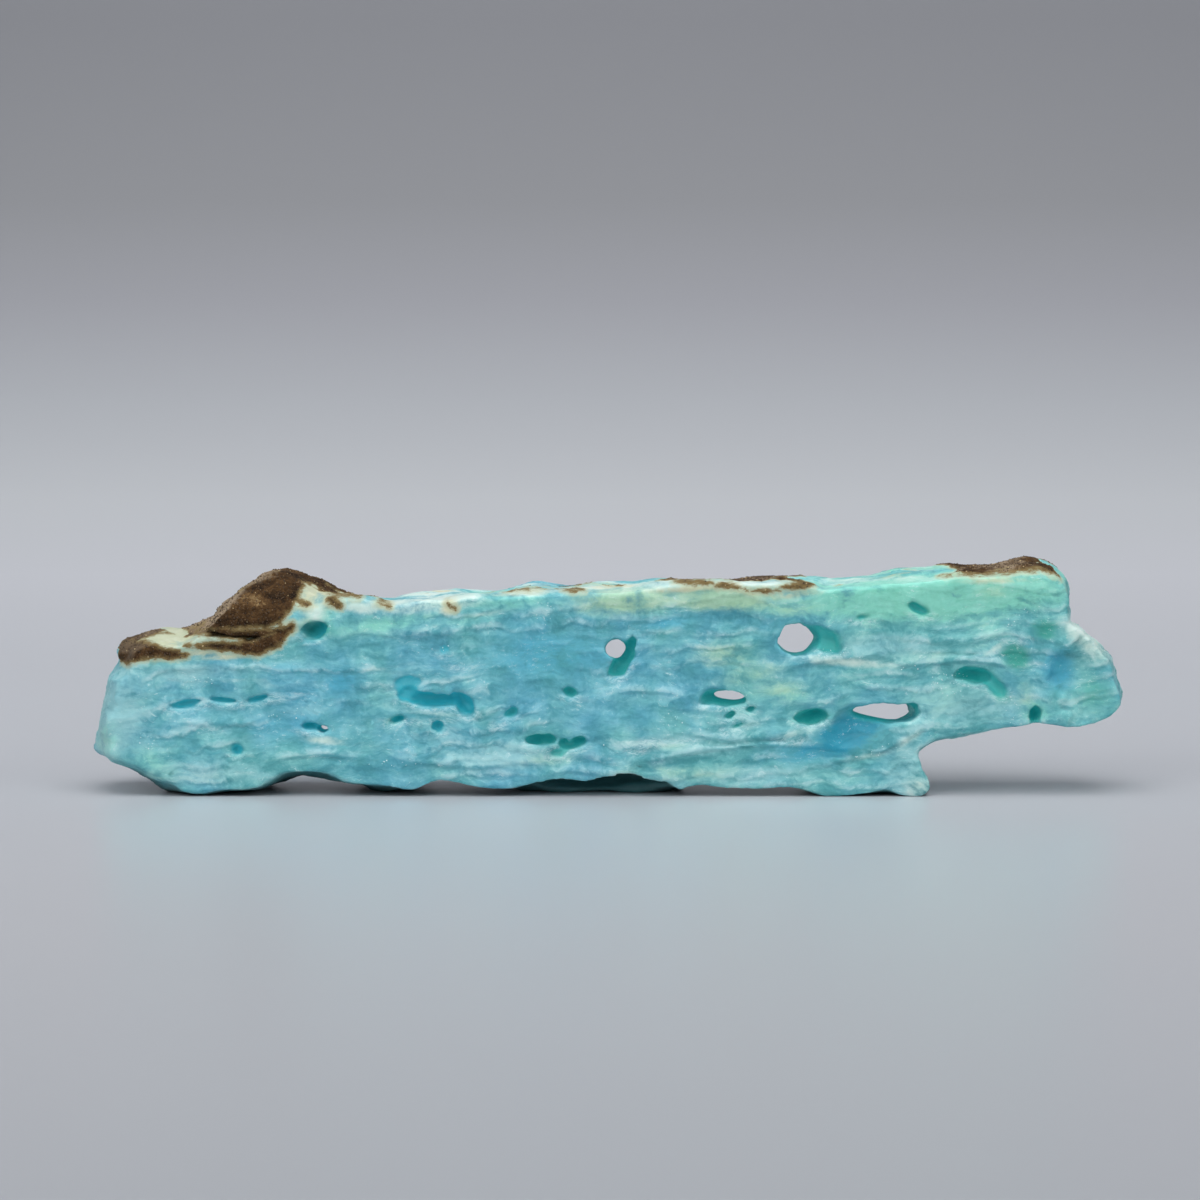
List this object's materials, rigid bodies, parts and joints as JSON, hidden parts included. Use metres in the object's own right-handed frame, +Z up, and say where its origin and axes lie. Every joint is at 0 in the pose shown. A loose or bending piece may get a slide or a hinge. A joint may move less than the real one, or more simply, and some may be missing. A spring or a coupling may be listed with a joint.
{
  "type": "aragonite specimen",
  "caption": "Long sawn slab of banded blue aragonite with dissolved holes through it and a brown crust along its natural top edge, standing on its natural lower edge.",
  "frame": {"origin": "middle of the stone's footprint box, on the surface that it stands on", "axes": "+X along the slab towards its stepped end, +Y from its sawn front face to its back, +Z up"},
  "size_m": [0.153, 0.0208, 0.0349],
  "materials": {
    "blue_aragonite": "waxy, faintly translucent banded stone, sawn and lightly smoothed on its two faces",
    "iron_crust": "dull, sandy brown iron-stained crust grown on the top edge"
  },
  "bodies": {
    "root": {"aragonite_slab": "blue_aragonite"}
  },
  "joints": []
}
